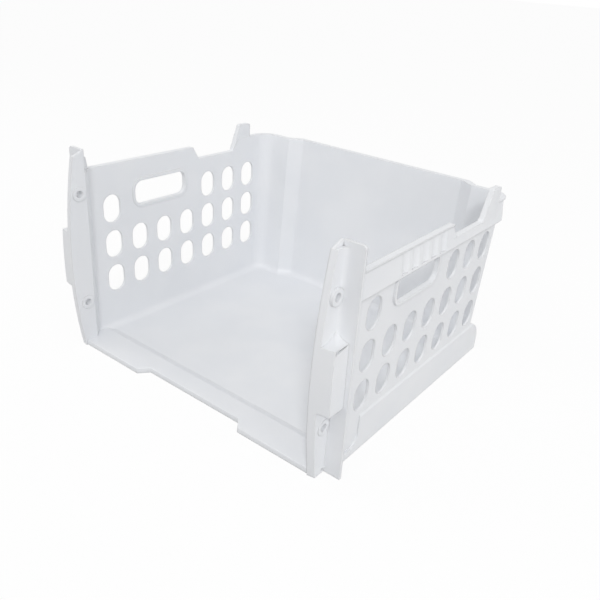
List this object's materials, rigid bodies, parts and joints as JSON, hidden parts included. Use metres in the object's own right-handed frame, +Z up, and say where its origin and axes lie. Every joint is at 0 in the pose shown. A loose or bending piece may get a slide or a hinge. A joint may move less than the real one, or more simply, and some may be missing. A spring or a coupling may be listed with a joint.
{
  "type": "freezer drawer",
  "caption": "Open-fronted freezer drawer tub with perforated side walls, hand slots, rim stops and front posts with sockets for a front panel.",
  "frame": {"origin": "centre of the drawer's outline, on the plane its underside rests on", "axes": "+X to the drawer's right seen from the open front, +Y from the open front to the back wall, +Z up"},
  "size_m": [0.435, 0.4054, 0.2625],
  "materials": {
    "drawer_body": "smooth moulded plastic, lightly glossy, cool white"
  },
  "bodies": {
    "root": {"drawer_body": "drawer_body"}
  },
  "joints": []
}
